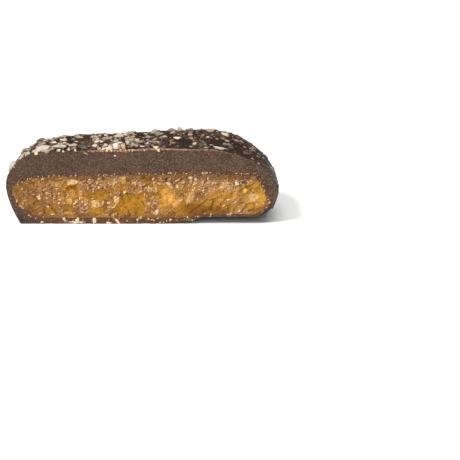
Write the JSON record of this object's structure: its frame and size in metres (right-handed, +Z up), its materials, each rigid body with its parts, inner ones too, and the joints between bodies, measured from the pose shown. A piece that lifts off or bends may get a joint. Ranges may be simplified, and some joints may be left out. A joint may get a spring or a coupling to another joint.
{
  "type": "pecan toffee",
  "caption": "Half a bar of pecan toffee, cut to show a slab of nut toffee in a thick coat of dark chocolate with chopped pecans on top.",
  "frame": {"origin": "on the flat underside, below the middle of the piece", "axes": "+X along the bar, with the slightly deeper end at +X; -Y out of the cut face; +Z up, out of the top with the pecans"},
  "size_m": [0.0505, 0.0172, 0.0153],
  "materials": {
    "dark_chocolate": "satin",
    "toffee": "glossy"
  },
  "bodies": {
    "root": {"chocolate_coat": "dark_chocolate", "toffee_core": "toffee"}
  },
  "joints": []
}
